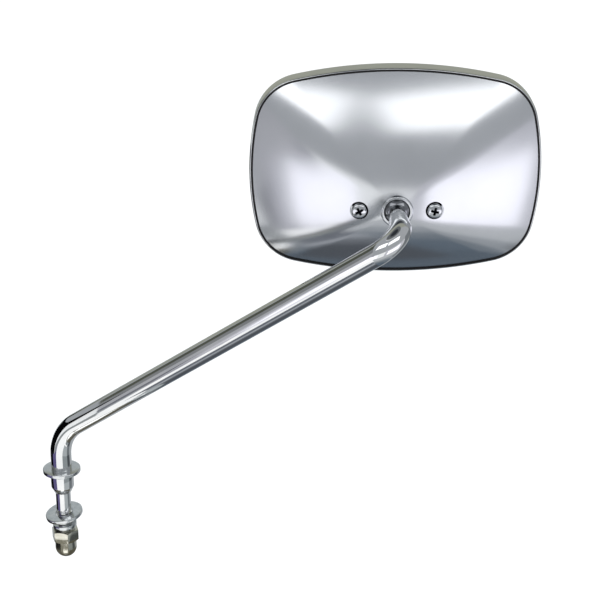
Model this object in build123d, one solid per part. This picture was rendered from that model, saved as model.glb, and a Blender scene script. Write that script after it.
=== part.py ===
from build123d import *

import os
from math import acos, cos, radians, sin, sqrt, tan

# A rectangular chromed mirror on a ball joint, carried by a bent rod that ends in a stud.
# Millimetres. +Z runs up the stud, +X from the stud towards the head, +Y the way the glass faces.
# The origin is on the stud's axis, at the lower end of the bush, where the bracket seats.

# Stem rod and its stud, which is relieved a little where the bush and washer cover it
ROD_DIAMETER = 11.1
LOWER_RUN = 20.6
STEM_REACH = 174.0
STEM_FORWARD = 79.6
STEM_RISE = 136.3
END_RUN = 46.6
LOWER_BEND_RADIUS = 25.0
UPPER_BEND_RADIUS = 11.0
NECK_DIAMETER = 8.0
NECK_STRAIGHT = 4.0
SPIGOT_DIAMETER = 6.0
SPIGOT_DEPTH = 10.0
STUD_DIAMETER = 8.0
STUD_RELIEF = 0.3
STUD_BELOW_BUSH = 30.2
THREAD_LENGTH = 20.0
THREAD_CORE_DIAMETER = 6.7
STUD_END_CHAMFER = 0.8

# Washer and bush at the rod's foot
FLANGE_WASHER_DIAMETER = 20.0
FLANGE_WASHER_THICKNESS = 2.0
BUSH_DIAMETER = 12.2
BUSH_STRAIGHT = 8.6
BUSH_TAPER = 3.5
BUSH_END_WALL = 0.3
STUD_CLEARANCE = 0.1
EDGE_BREAK = 0.3

# Loose washers and domed nut on the stud
FLAT_WASHER_DIAMETER = 20.0
FLAT_WASHER_THICKNESS = 2.0
FLAT_WASHER_HOLE = 9.0
FLAT_WASHER_LIFT = 9.1
FLAT_WASHER_ROLL = 9.0
FLAT_WASHER_PITCH = 5.0
LOCK_WASHER_DIAMETER = 12.7
LOCK_WASHER_HOLE = 8.4
LOCK_WASHER_THICKNESS = 2.2
LOCK_WASHER_SPRING = 2.4
LOCK_WASHER_SPLIT = 14.0
LOCK_WASHER_SPLIT_AT = 90.0
LOCK_WASHER_SEAT_GAP = 0.1
NUT_ACROSS_FLATS = 13.0
NUT_HEX_HEIGHT = 6.5
NUT_DOME_DIAMETER = 11.5
NUT_ENGAGEMENT = 7.8
NUT_SPARE_DEPTH = 3.2
NUT_CAP_WALL = 5.8
NUT_MOUTH_CHAMFER = 0.9
NUT_TURN = 12.5
THREAD_CLEARANCE = 0.05
HEX_SIDES = 6
HEX_CHAMFER_ANGLE = 30.0
DRILL_TIP_ANGLE = 31.0

# Ball joint
BALL_DIAMETER = 16.0
SPIGOT_CLEARANCE = 0.03
SEAT_CLEARANCE = 0.3
SEAT_WALL = 0.9
SEAT_OPENING = 12.4
SEAT_DEPTH = 3.9
SEAT_PROUD = 0.6
SEAT_EDGE = 0.4
CUP_CLEARANCE = 0.08
CUP_WALL = 1.2
CUP_SETBACK = 3.4
CUP_HOLE = 5.0
PLATE_CLEARANCE = 0.1
PLATE_THICKNESS = 2.0
PLATE_SETBACK = 3.0
PLATE_END_MARGIN = 5.8
PLATE_SIDE_MARGIN = 0.6
PLATE_CORNER = 5.0

# Clamp screws
SCREW_SPACING = 36.4
SCREW_DIAMETER = 4.0
SCREW_HEAD_DIAMETER = 8.2
SCREW_HEAD_HEIGHT = 3.1
SCREW_HEAD_EDGE = 1.4
SCREW_RECESS_SPAN = 4.6
SCREW_RECESS_WIDTH = 1.1
SCREW_RECESS_DEPTH = 2.0
SCREW_HOLE_CLEARANCE = 0.25
SCREW_SEAT_SINK = 2.4
SCREW_SEAT_MARGIN = 0.35
SCREW_POINT = 1.3
SPRING_WASHER_DIAMETER = 7.6
SPRING_WASHER_THICKNESS = 0.9
SPRING_WASHER_SPLIT = 0.9
SPRING_WASHER_CLEARANCE = 0.12
SPRING_WASHER_EDGE = 0.15
CLAMP_NUT_ACROSS_FLATS = 7.0
CLAMP_NUT_HEIGHT = 3.2

# Head outline, shell, rim and glass
HEAD_WIDTH = 143.0
HEAD_HEIGHT = 104.0
HEAD_RISE = 13.0
TOP_EDGE_RADIUS = 230.0
SIDE_EDGE_RADIUS = 130.0
CORNER_RADIUS = 25.0
SHELL_DEPTH = 21.9
SHELL_WALL = 0.9
SHELL_SECTIONS = (1.0, 0.88, 0.74, 0.58, 0.42, 0.26, 0.1)
RIM_DEPTH = 11.0
RIM_WALL = 0.6
RIM_BACK_LIP = 1.2
RIM_FRONT_LIP = 2.5
RIM_BACK_ROUND = 1.0
RIM_FRONT_ROUND = 1.4
RIM_SHELL_GAP = 0.5
GLASS_THICKNESS = 2.5
GASKET_WALL = 1.2
GASKET_SHELF = 2.5
PAD_THICKNESS = 1.5

# Places that follow from those sizes
BUSH_LENGTH = BUSH_STRAIGHT + BUSH_TAPER
SHOULDER_Z = BUSH_LENGTH + FLANGE_WASHER_THICKNESS
STUD_END_Z = -STUD_BELOW_BUSH
LOWER_CORNER = Vector(0, 0, SHOULDER_Z + LOWER_RUN)
UPPER_CORNER = LOWER_CORNER + Vector(STEM_REACH, -STEM_FORWARD, STEM_RISE)
BALL = UPPER_CORNER + Vector(0, END_RUN, 0)
BALL_RADIUS = BALL_DIAMETER / 2
NECK_RADIUS = NECK_DIAMETER / 2
NECK_FLAT = sqrt(BALL_RADIUS**2 - NECK_RADIUS**2)
SEAT_RADIUS = BALL_RADIUS + SEAT_CLEARANCE
SEAT_FRONT = sqrt(SEAT_RADIUS**2 - (SEAT_OPENING / 2) ** 2)
APEX_Y = BALL.Y - SEAT_FRONT + SEAT_PROUD
RIM_BACK_Y = APEX_Y + SHELL_DEPTH
RIM_FRONT_Y = RIM_BACK_Y + RIM_DEPTH
GLASS_FRONT_Y = RIM_FRONT_Y - RIM_WALL
GLASS_BACK_Y = GLASS_FRONT_Y - GLASS_THICKNESS
PAD_BACK_Y = GLASS_BACK_Y - PAD_THICKNESS
FLANGE_BACK_Y = RIM_BACK_Y + RIM_WALL
FLANGE_FRONT_Y = FLANGE_BACK_Y + SHELL_WALL
SHELL_INSET = RIM_BACK_LIP + RIM_SHELL_GAP
GLASS_INSET = RIM_WALL + GASKET_WALL
PAD_INSET = GLASS_INSET + GASKET_SHELF
CUP_RADIUS = BALL_RADIUS + CUP_CLEARANCE
CUP_OUTER_RADIUS = CUP_RADIUS + CUP_WALL
DIMPLE_RADIUS = CUP_OUTER_RADIUS + PLATE_CLEARANCE
PLATE_LENGTH = SCREW_SPACING + 2 * PLATE_END_MARGIN
PLATE_WIDTH = 2 * (DIMPLE_RADIUS + PLATE_THICKNESS + PLATE_SIDE_MARGIN)
PLATE_BACK_Y = BALL.Y + PLATE_SETBACK
PLATE_FRONT_Y = PLATE_BACK_Y + PLATE_THICKNESS
SCREW_SEAT_Y = APEX_Y + SCREW_SEAT_SINK
NUT_TOP_Z = STUD_END_Z + NUT_ENGAGEMENT
NUT_BORE_END_Z = STUD_END_Z - NUT_SPARE_DEPTH

ALONG_Y = Vector(0, 1, 0)
ALONG_Z = Vector(0, 0, 1)


def section_plane(centre, axis):
    """A plane through the axis: its first coordinate is the radius, its second runs along the axis."""
    normal = Vector(0, -1, 0) if axis == ALONG_Z else Vector(0, 0, 1)
    return Plane(origin=centre, x_dir=(1, 0, 0), z_dir=normal)


def turned(points, centre, axis):
    """A solid of revolution from (radius, distance along the axis) corners."""
    outline = make_face(Polyline(*points, close=True))
    return revolve(section_plane(centre, axis) * outline, Axis(centre, axis))


def plug(radius, low, high, centre, axis):
    """A plain cylinder between two distances along the axis."""
    return turned([(0, low), (radius, low), (radius, high), (0, high)], centre, axis)


def ring(inner_radius, outer_radius, low, high, edge, centre, axis):
    """A flat ring with its two outer edges broken."""
    corners = [
        (inner_radius, low),
        (outer_radius - edge, low),
        (outer_radius, low + edge),
        (outer_radius, high - edge),
        (outer_radius - edge, high),
        (inner_radius, high),
    ]
    return turned(corners, centre, axis)


def ball_zone(inner_radius, outer_radius, low, high):
    """The slice of a hollow sphere about the ball's centre between two distances along +Y."""
    shell = Sphere(outer_radius) - Sphere(inner_radius)
    slab = Box(3 * outer_radius, high - low, 3 * outer_radius)
    return Pos(BALL) * (shell & Pos(0, (low + high) / 2, 0) * slab)


def hexagon_bar(across_flats, low, high, centre, axis, turn):
    """A hexagonal bar with both ends chamfered; turn is the angle of one flat from the section's x."""
    base = Plane(origin=centre + axis * low, x_dir=(1, 0, 0), z_dir=axis)
    corner_radius = across_flats / 2 / cos(radians(180 / HEX_SIDES))
    profile = RegularPolygon(corner_radius, HEX_SIDES, rotation=turn + 180 / HEX_SIDES)
    bar = extrude(base * profile, high - low)
    rise = (corner_radius - across_flats / 2) * tan(radians(HEX_CHAMFER_ANGLE))
    envelope = [
        (0, low),
        (across_flats / 2, low),
        (corner_radius, low + rise),
        (corner_radius, high - rise),
        (across_flats / 2, high),
        (0, high),
    ]
    return bar & turned(envelope, centre, axis)


def outline_arcs(inset):
    """The head's outline as eight tangent arcs of (x, z) points from the head's centre."""
    top = Vector(0, HEAD_HEIGHT / 2 - TOP_EDGE_RADIUS)
    side = Vector(HEAD_WIDTH / 2 - SIDE_EDGE_RADIUS, 0)
    span = side - top
    near = TOP_EDGE_RADIUS - CORNER_RADIUS
    far = SIDE_EDGE_RADIUS - CORNER_RADIUS
    reach = (near**2 - far**2 + span.length**2) / (2 * span.length)
    step = span.normalized()
    corner = top + step * reach + Vector(step.Y, -step.X) * sqrt(near**2 - reach**2)
    to_top = (corner - top).normalized()
    to_side = (corner - side).normalized()
    top_end = top + to_top * (TOP_EDGE_RADIUS - inset)
    corner_mid = corner + (to_top + to_side).normalized() * (CORNER_RADIUS - inset)
    side_end = side + to_side * (SIDE_EDGE_RADIUS - inset)

    def flip(point, x_sign, z_sign):
        return (x_sign * point.X, z_sign * point.Y)

    half_width = HEAD_WIDTH / 2 - inset
    half_height = HEAD_HEIGHT / 2 - inset
    return [
        (flip(top_end, -1, 1), (0, half_height), flip(top_end, 1, 1)),
        (flip(top_end, 1, 1), flip(corner_mid, 1, 1), flip(side_end, 1, 1)),
        (flip(side_end, 1, 1), (half_width, 0), flip(side_end, 1, -1)),
        (flip(side_end, 1, -1), flip(corner_mid, 1, -1), flip(top_end, 1, -1)),
        (flip(top_end, 1, -1), (0, -half_height), flip(top_end, -1, -1)),
        (flip(top_end, -1, -1), flip(corner_mid, -1, -1), flip(side_end, -1, -1)),
        (flip(side_end, -1, -1), (-half_width, 0), flip(side_end, -1, 1)),
        (flip(side_end, -1, 1), flip(corner_mid, -1, 1), flip(top_end, -1, 1)),
    ]


def outline_face(inset, y, scale=1.0):
    """The head's outline, drawn in by inset and shrunk towards the ball's axis, as a face at y."""

    def place(point):
        x, z = point
        return Vector(BALL.X + scale * x, y, BALL.Z + scale * (HEAD_RISE + z))

    edges = [ThreePointArc(*[place(point) for point in arc]) for arc in outline_arcs(inset)]
    return make_face(edges)


def outline_slab(inset, back, front):
    """A plate of the head's outline between two distances along Y."""
    return extrude(outline_face(inset, back), front - back, dir=(0, 1, 0))


def dish(inset, depth):
    """The filled dome of the head's back: its sections shrink towards the ball as it deepens."""
    sections = [
        outline_face(inset, RIM_BACK_Y - depth * (1 - scale**2), scale) for scale in SHELL_SECTIONS
    ]
    return loft(sections)


def screw_centre(side):
    """The point on a clamp screw's axis level with the ball's centre; side is -1 or 1."""
    return BALL + Vector(side * SCREW_SPACING / 2, 0, 0)


def make_stem_rod():
    run = (UPPER_CORNER - LOWER_CORNER).normalized()
    turn = acos(run.dot(ALONG_Y))
    bend_length = UPPER_BEND_RADIUS * tan(turn / 2)
    taper_start = END_RUN - bend_length
    foot = Vector(0, 0, SHOULDER_Z)
    bend_end = BALL - ALONG_Y * taper_start
    path = FilletPolyline(
        foot,
        LOWER_CORNER,
        UPPER_CORNER,
        bend_end + ALONG_Y * EDGE_BREAK,
        radius=(LOWER_BEND_RADIUS, UPPER_BEND_RADIUS),
    )
    rod = sweep(Plane(origin=foot, z_dir=ALONG_Z) * Circle(ROD_DIAMETER / 2), path)
    neck = turned(
        [
            (0, EDGE_BREAK - taper_start),
            (ROD_DIAMETER / 2, EDGE_BREAK - taper_start),
            (NECK_RADIUS, -NECK_FLAT - NECK_STRAIGHT),
            (NECK_RADIUS, -NECK_FLAT),
            (SPIGOT_DIAMETER / 2, -NECK_FLAT),
            (SPIGOT_DIAMETER / 2, SPIGOT_DEPTH - NECK_FLAT),
            (0, SPIGOT_DEPTH - NECK_FLAT),
        ],
        BALL,
        ALONG_Y,
    )
    thread_start = STUD_END_Z + THREAD_LENGTH
    core_radius = THREAD_CORE_DIAMETER / 2
    stud = turned(
        [
            (0, STUD_END_Z),
            (core_radius - STUD_END_CHAMFER, STUD_END_Z),
            (core_radius, STUD_END_Z + STUD_END_CHAMFER),
            (core_radius, thread_start),
            (STUD_DIAMETER / 2, thread_start),
            (STUD_DIAMETER / 2, 0),
            (STUD_DIAMETER / 2 - STUD_RELIEF, 0),
            (STUD_DIAMETER / 2 - STUD_RELIEF, SHOULDER_Z),
            (0, SHOULDER_Z),
        ],
        Vector(0, 0, 0),
        ALONG_Z,
    )
    return rod + neck + stud


def make_flange_washer():
    bore = STUD_DIAMETER / 2 + STUD_CLEARANCE
    edge = FLANGE_WASHER_DIAMETER / 2
    return ring(bore, edge, BUSH_LENGTH, SHOULDER_Z, EDGE_BREAK, Vector(0, 0, 0), ALONG_Z)


def make_spacer_bush():
    bore = STUD_DIAMETER / 2 + STUD_CLEARANCE
    corners = [
        (bore, 0),
        (bore + BUSH_END_WALL, 0),
        (BUSH_DIAMETER / 2, BUSH_TAPER),
        (BUSH_DIAMETER / 2, BUSH_LENGTH),
        (bore, BUSH_LENGTH),
    ]
    return turned(corners, Vector(0, 0, 0), ALONG_Z)


def make_flat_washer():
    half = FLAT_WASHER_THICKNESS / 2
    bore = FLAT_WASHER_HOLE / 2
    edge = FLAT_WASHER_DIAMETER / 2
    flat = ring(bore, edge, -half, half, EDGE_BREAK, Vector(0, 0, 0), ALONG_Z)
    tilt = Rot(FLAT_WASHER_PITCH, -FLAT_WASHER_ROLL, 0)
    return Pos(0, 0, NUT_TOP_Z + FLAT_WASHER_LIFT) * tilt * flat


def make_lock_washer():
    low_z = NUT_TOP_Z + LOCK_WASHER_SEAT_GAP
    width = (LOCK_WASHER_DIAMETER - LOCK_WASHER_HOLE) / 2
    middle = (LOCK_WASHER_DIAMETER + LOCK_WASHER_HOLE) / 4
    share = 1 - LOCK_WASHER_SPLIT / 360
    coil = Helix(LOCK_WASHER_SPRING / share, LOCK_WASHER_SPRING, middle)
    coil_start = Plane(origin=coil @ 0, x_dir=(1, 0, 0), z_dir=coil % 0)
    body = sweep(coil_start * Rectangle(width, LOCK_WASHER_THICKNESS), coil, is_frenet=True)
    start_angle = LOCK_WASHER_SPLIT_AT + LOCK_WASHER_SPLIT / 2
    return Pos(0, 0, low_z + LOCK_WASHER_THICKNESS / 2) * Rot(0, 0, start_angle) * body


def make_cap_nut():
    origin = Vector(0, 0, 0)
    hex_low = NUT_TOP_Z - NUT_HEX_HEIGHT
    dome_radius = NUT_DOME_DIAMETER / 2
    dome_centre_z = NUT_BORE_END_Z - NUT_CAP_WALL + dome_radius
    hexagon = hexagon_bar(NUT_ACROSS_FLATS, hex_low, NUT_TOP_Z, origin, ALONG_Z, -90 - NUT_TURN)
    barrel = plug(dome_radius, dome_centre_z, hex_low, origin, ALONG_Z)
    dome = Pos(0, 0, dome_centre_z) * Sphere(dome_radius)
    bore_radius = THREAD_CORE_DIAMETER / 2 + THREAD_CLEARANCE
    bore = turned(
        [
            (0, NUT_BORE_END_Z - bore_radius * tan(radians(DRILL_TIP_ANGLE))),
            (bore_radius, NUT_BORE_END_Z),
            (bore_radius, NUT_TOP_Z - NUT_MOUTH_CHAMFER),
            (bore_radius + NUT_MOUTH_CHAMFER, NUT_TOP_Z),
            (0, NUT_TOP_Z),
        ],
        origin,
        ALONG_Z,
    )
    return hexagon + barrel + dome - bore


def make_pivot_ball():
    bore_radius = SPIGOT_DIAMETER / 2 + SPIGOT_CLEARANCE
    far = 2 * BALL_RADIUS
    flat = plug(far, -far, -NECK_FLAT, BALL, ALONG_Y)
    bore = plug(bore_radius, -far, SPIGOT_DEPTH - NECK_FLAT + SPIGOT_CLEARANCE, BALL, ALONG_Y)
    return Pos(BALL) * Sphere(BALL_RADIUS) - flat - bore


def make_friction_cup():
    cup = ball_zone(CUP_RADIUS, CUP_OUTER_RADIUS, CUP_SETBACK, CUP_OUTER_RADIUS)
    return cup - plug(CUP_HOLE / 2, 0, 2 * CUP_OUTER_RADIUS, BALL, ALONG_Y)


def make_clamp_plate():
    base = Plane(origin=(BALL.X, PLATE_BACK_Y, BALL.Z), x_dir=(1, 0, 0), z_dir=ALONG_Y)
    strap = extrude(base * RectangleRounded(PLATE_LENGTH, PLATE_WIDTH, PLATE_CORNER), PLATE_THICKNESS)
    dimple = ball_zone(
        DIMPLE_RADIUS, DIMPLE_RADIUS + PLATE_THICKNESS, PLATE_SETBACK, DIMPLE_RADIUS + PLATE_THICKNESS
    )
    plate = strap - Pos(BALL) * Sphere(DIMPLE_RADIUS) + dimple
    hole_radius = SCREW_DIAMETER / 2 + SCREW_HOLE_CLEARANCE
    for side in (-1, 1):
        plate -= plug(hole_radius, 0, DIMPLE_RADIUS, screw_centre(side), ALONG_Y)
    return plate


def make_clamp_screw(side):
    centre = screw_centre(side)
    seat = SCREW_SEAT_Y - BALL.Y
    top = seat - SCREW_HEAD_HEIGHT
    end = PLATE_FRONT_Y - BALL.Y + SPRING_WASHER_THICKNESS + CLAMP_NUT_HEIGHT + SCREW_POINT
    head_radius = SCREW_HEAD_DIAMETER / 2
    crown_rise = SCREW_HEAD_HEIGHT - SCREW_HEAD_EDGE
    crown_edge = (head_radius, seat - SCREW_HEAD_EDGE)
    crown_middle = (head_radius * sin(radians(45)), top + crown_rise * (1 - cos(radians(45))))
    profile = [
        ThreePointArc((0, top), crown_middle, crown_edge),
        Polyline(
            crown_edge,
            (head_radius, seat),
            (SCREW_DIAMETER / 2, seat),
            (SCREW_DIAMETER / 2, end - EDGE_BREAK),
            (SCREW_DIAMETER / 2 - EDGE_BREAK, end),
            (0, end),
            (0, top),
        ),
    ]
    screw = revolve(section_plane(centre, ALONG_Y) * make_face(profile), Axis(centre, ALONG_Y))
    recess_bar = Box(SCREW_RECESS_SPAN, 2 * SCREW_RECESS_DEPTH, SCREW_RECESS_WIDTH)
    for quarter_turn in (0, 90):
        screw -= Pos(centre + ALONG_Y * top) * Rot(0, quarter_turn, 0) * recess_bar
    return screw


def make_spring_washer(side):
    centre = screw_centre(side)
    low = PLATE_FRONT_Y - BALL.Y
    high = low + SPRING_WASHER_THICKNESS
    bore = SCREW_DIAMETER / 2 + SPRING_WASHER_CLEARANCE
    washer = ring(bore, SPRING_WASHER_DIAMETER / 2, low, high, SPRING_WASHER_EDGE, centre, ALONG_Y)
    cut = Box(SPRING_WASHER_SPLIT, 2 * SPRING_WASHER_THICKNESS, SPRING_WASHER_DIAMETER)
    place = centre + Vector(0, (low + high) / 2, SPRING_WASHER_DIAMETER / 2)
    return washer - Pos(place) * cut


def make_clamp_nut(side):
    centre = screw_centre(side)
    low = PLATE_FRONT_Y - BALL.Y + SPRING_WASHER_THICKNESS
    high = low + CLAMP_NUT_HEIGHT
    nut = hexagon_bar(CLAMP_NUT_ACROSS_FLATS, low, high, centre, ALONG_Y, 0)
    bore = SCREW_DIAMETER / 2 + THREAD_CLEARANCE
    return nut - plug(bore, low, high, centre, ALONG_Y)


def make_back_shell():
    dome = dish(SHELL_INSET, SHELL_DEPTH)
    shell = dome - dish(SHELL_INSET + SHELL_WALL, SHELL_DEPTH - SHELL_WALL)
    skirt = outline_slab(SHELL_INSET, RIM_BACK_Y, FLANGE_FRONT_Y)
    flange = outline_slab(RIM_WALL, FLANGE_BACK_Y, FLANGE_FRONT_Y)
    shell += skirt + flange - outline_slab(SHELL_INSET + SHELL_WALL, RIM_BACK_Y, FLANGE_FRONT_Y)
    seat_radius = SCREW_HEAD_DIAMETER / 2 + SCREW_SEAT_MARGIN
    hole_radius = SCREW_DIAMETER / 2 + SCREW_HOLE_CLEARANCE
    seat = SCREW_SEAT_Y - BALL.Y
    for side in (-1, 1):
        centre = screw_centre(side)
        shell += dome & plug(seat_radius + SHELL_WALL, -SHELL_DEPTH, seat + SHELL_WALL, centre, ALONG_Y)
        shell -= plug(seat_radius, -SHELL_DEPTH, seat, centre, ALONG_Y)
        shell -= plug(hole_radius, -SHELL_DEPTH, seat + SHELL_DEPTH, centre, ALONG_Y)
    outer = SEAT_RADIUS + SEAT_WALL
    front_outer = sqrt(outer**2 - SEAT_FRONT**2)
    shell -= plug(front_outer, -2 * outer, 0, BALL, ALONG_Y)
    collar = ball_zone(SEAT_RADIUS, outer, -SEAT_FRONT, SEAT_DEPTH - SEAT_FRONT)
    lip_edges = collar.edges().group_by(Axis.Y)[0]
    return shell - Pos(BALL) * Sphere(SEAT_RADIUS) + chamfer(lip_edges, SEAT_EDGE)


def make_rim():
    band = outline_slab(0, RIM_BACK_Y, RIM_FRONT_Y)
    band = fillet(band.edges().group_by(Axis.Y)[0], RIM_BACK_ROUND)
    band = fillet(band.edges().group_by(Axis.Y)[-1], RIM_FRONT_ROUND)
    band -= outline_slab(RIM_WALL, FLANGE_BACK_Y, GLASS_FRONT_Y)
    band -= outline_slab(RIM_BACK_LIP, RIM_BACK_Y, FLANGE_BACK_Y)
    return band - outline_slab(RIM_FRONT_LIP, GLASS_FRONT_Y, RIM_FRONT_Y)


def make_glass_gasket():
    wall = outline_slab(RIM_WALL, FLANGE_FRONT_Y, GLASS_FRONT_Y)
    wall -= outline_slab(GLASS_INSET, FLANGE_FRONT_Y, GLASS_FRONT_Y)
    shelf = outline_slab(GLASS_INSET, PAD_BACK_Y, GLASS_BACK_Y)
    shelf -= outline_slab(PAD_INSET, PAD_BACK_Y, GLASS_BACK_Y)
    return wall + shelf


def make_mirror_glass():
    return outline_slab(GLASS_INSET, GLASS_BACK_Y, GLASS_FRONT_Y)


def make_backing_pad():
    return outline_slab(PAD_INSET, PAD_BACK_Y, GLASS_BACK_Y)


pieces = {
    "stem_rod": make_stem_rod(),
    "flange_washer": make_flange_washer(),
    "spacer_bush": make_spacer_bush(),
    "flat_washer": make_flat_washer(),
    "lock_washer": make_lock_washer(),
    "cap_nut": make_cap_nut(),
    "pivot_ball": make_pivot_ball(),
    "friction_cup": make_friction_cup(),
    "clamp_plate": make_clamp_plate(),
    "back_shell": make_back_shell(),
    "rim": make_rim(),
    "glass_gasket": make_glass_gasket(),
    "mirror_glass": make_mirror_glass(),
    "backing_pad": make_backing_pad(),
}
for name, side in (("left", -1), ("right", 1)):
    pieces["clamp_screw_" + name] = make_clamp_screw(side)
    pieces["spring_washer_" + name] = make_spring_washer(side)
    pieces["clamp_nut_" + name] = make_clamp_nut(side)

os.makedirs("parts", exist_ok=True)
for name, piece in pieces.items():
    export_step(piece, f"parts/{name}.step")
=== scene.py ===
from math import acos, asin, atan2, cos, pi, radians, sin, sqrt, tan

import bpy
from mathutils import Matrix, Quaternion, Vector


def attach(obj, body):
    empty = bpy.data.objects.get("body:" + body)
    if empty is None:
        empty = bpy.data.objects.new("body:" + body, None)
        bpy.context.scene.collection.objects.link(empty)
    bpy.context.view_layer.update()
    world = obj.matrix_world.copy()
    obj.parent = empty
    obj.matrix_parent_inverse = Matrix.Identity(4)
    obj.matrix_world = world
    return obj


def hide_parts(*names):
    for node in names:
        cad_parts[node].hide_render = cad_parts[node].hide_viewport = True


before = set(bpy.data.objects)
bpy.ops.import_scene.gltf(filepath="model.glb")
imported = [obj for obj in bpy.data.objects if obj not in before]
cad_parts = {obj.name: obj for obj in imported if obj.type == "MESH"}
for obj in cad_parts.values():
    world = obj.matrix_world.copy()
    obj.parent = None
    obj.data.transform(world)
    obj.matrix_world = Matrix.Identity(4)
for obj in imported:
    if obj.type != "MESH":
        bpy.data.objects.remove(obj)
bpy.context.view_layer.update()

# Sizes in millimetres, as the part's solids have them. The frame: +Z up the stud, +X from the stud
# to the head, +Y the way the glass faces, and the origin at the bracket's seat on the stud.
MM = 0.001

# The rod, its bends and the ball
ROD_RADIUS = 5.55
LOWER_BEND_RADIUS = 25.0
UPPER_BEND_RADIUS = 11.0
SHOULDER_Z = 14.1
LOWER_CORNER = Vector((0.0, 0.0, 34.7))
UPPER_CORNER = Vector((174.0, -79.6, 171.0))
BALL = Vector((174.0, -33.0, 171.0))
BALL_RADIUS = 8.0
NECK_RADIUS = 4.0
NECK_STRAIGHT = 4.0
NECK_FLAT = sqrt(BALL_RADIUS**2 - NECK_RADIUS**2)
RUN = (UPPER_CORNER - LOWER_CORNER).normalized()

# The stud and its thread
STUD_RADIUS = 4.0
STUD_RELIEF_RADIUS = 3.7
THREAD_TOP_Z = -10.2
STUD_END_Z = -30.2
THREAD_CORE_RADIUS = 3.35
THREAD_CREST_RADIUS = 3.97
THREAD_PITCH = 1.25
THREAD_TURNS = 16
# A tooth's half width at its root and at its crest, as shares of the pitch, and how far it sinks in
THREAD_ROOT_SHARE = 0.47
THREAD_CREST_SHARE = 0.07
THREAD_SINK = 0.1
STUD_END_CHAMFER = 0.8

# The bush and the flat washers
BUSH_RADIUS = 6.1
BUSH_BORE_RADIUS = 4.1
BUSH_LENGTH = 12.1
BUSH_TAPER = 3.5
BUSH_END_WALL = 0.3
BUSH_EDGE = 0.12
WASHER_RADIUS = 10.0
WASHER_THICKNESS = 2.0
WASHER_EDGE = 0.35
FLAT_WASHER_HOLE_RADIUS = 4.5
FLAT_WASHER_Z = -13.3
FLAT_WASHER_ROLL = radians(9)
FLAT_WASHER_PITCH = radians(5)

# The nut and the split ring on it
NUT_TOP_Z = -22.4
NUT_HEX_BOTTOM_Z = -28.9
NUT_ACROSS_FLATS = 13.0
NUT_TURN = radians(12.5)
NUT_DOME_RADIUS = 5.75
NUT_DOME_CENTRE_Z = -33.45
NUT_DOME_OVERLAP = 1.0
NUT_BORE_RADIUS = 3.4
NUT_BORE_END_Z = -33.4
NUT_MOUTH_CHAMFER = 0.9
HEX_CHAMFER = radians(30)
NUT_EDGE = 0.12
LOCK_WASHER_BORE_RADIUS = 4.2
LOCK_WASHER_RADIUS = 6.35
LOCK_WASHER_THICKNESS = 2.2
LOCK_WASHER_SPRING = 2.4
LOCK_WASHER_SPLIT = radians(14)
LOCK_WASHER_LOW_Z = -22.3
LOCK_WASHER_EDGE = 0.5

# The head: its outline, shell, rim and glass, and a black bead of painted shade where the rim
# closes on the back
HEAD_RISE = 13.0
HALF_WIDTH = 71.5
HALF_HEIGHT = 52.0
TOP_EDGE_RADIUS = 230.0
SIDE_EDGE_RADIUS = 130.0
CORNER_RADIUS = 25.0
SHELL_DEPTH = 21.9
SHELL_WALL = 0.9
SHELL_INSET = 1.7
SHELL_FLANGE_GAP = 0.05
SHELL_LAST_RING = 0.05
RIM_BACK_Y = -16.018
RIM_FRONT_Y = -5.018
RIM_WALL = 0.6
RIM_BACK_LIP = 0.8
RIM_FRONT_LIP = 2.5
RIM_BACK_FALL = 2.2
RIM_FRONT_ROUND = 1.4
SHADE_BEAD_RADIUS = 0.46
SHADE_BEAD_INSET = 1.25
SHADE_BEAD_DROP = 0.1
GLASS_FRONT_Y = -5.618
GLASS_BACK_Y = -8.118
GLASS_INSET = 1.8
GLASS_GRIND = 0.4

# The ball's seat in the shell, and the screws beside it
SEAT_RADIUS = 8.3
SEAT_OUTER_RADIUS = 9.2
SEAT_FRONT = -5.518
SEAT_BACK = -1.618
SEAT_EDGE = 0.2
SHELL_HOLE_RADIUS = 7.4
SCREW_OFFSET = 18.2
SCREW_SEAT_Y = -35.518
SCREW_SEAT_RADIUS = 4.45
SCREW_CUP_SINK = 0.3
SCREW_HEAD_RADIUS = 3.75
SCREW_HEAD_HEIGHT = 3.1
SCREW_HEAD_ROUND = 1.5
SCREW_HEAD_CROWN = 0.4
SCREW_CROWN_SLOPE = radians(16)
SCREW_RADIUS = 2.0
SCREW_END_Y = -22.6
SCREW_HOLE_RADIUS = 2.25
SCREW_RECESS_SPAN = 5.0
SCREW_RECESS_DEPTH = 2.0
SCREW_RECESS_WIDTH = 1.5
SCREW_RECESS_TAPER = (0.65, 1, 0.7)
SCREW_TURNS = (radians(28), radians(-12))

# How finely the curves are drawn
ROD_SIDES = 64
TURN_STEPS = 96
BEND_STEPS = 28
THREAD_STEPS = 48
LOCK_WASHER_STEPS = 90
DOME_STEPS = 28
BALL_STEPS = 48
SCREW_STEPS = 64
SCREW_ROUND_STEPS = 12
COLLAR_STEPS = 8
TOP_EDGE_STEPS = 52
SIDE_EDGE_STEPS = 32
CORNER_STEPS = 20
SHELL_RINGS = 56
RIM_ROLL_STEPS = 12
RIM_ROUND_STEPS = 8
SHADE_BEAD_STEPS = 10
FINE_EDGE_STEPS = 2
ROUND_EDGE_STEPS = 4
CARD_TURN_STEPS = 24
CARD_RISE_STEPS = 8
# Edges keener than this are broken, and stay as corners in the shading. The bush has blunter ones
KEEN_EDGE = radians(35)
BLUNT_EDGE = radians(20)
# How near two corners are to be one, how near a place counts as met, how far a cutter overlaps
MERGE_GAP = 0.001
PLACE_SLACK = 0.01
CUTTER_MARGIN = 1.0

X_AXIS = Vector((1, 0, 0))
Y_AXIS = Vector((0, 1, 0))
Z_AXIS = Vector((0, 0, 1))
ORIGIN = Vector((0, 0, 0))

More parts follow.
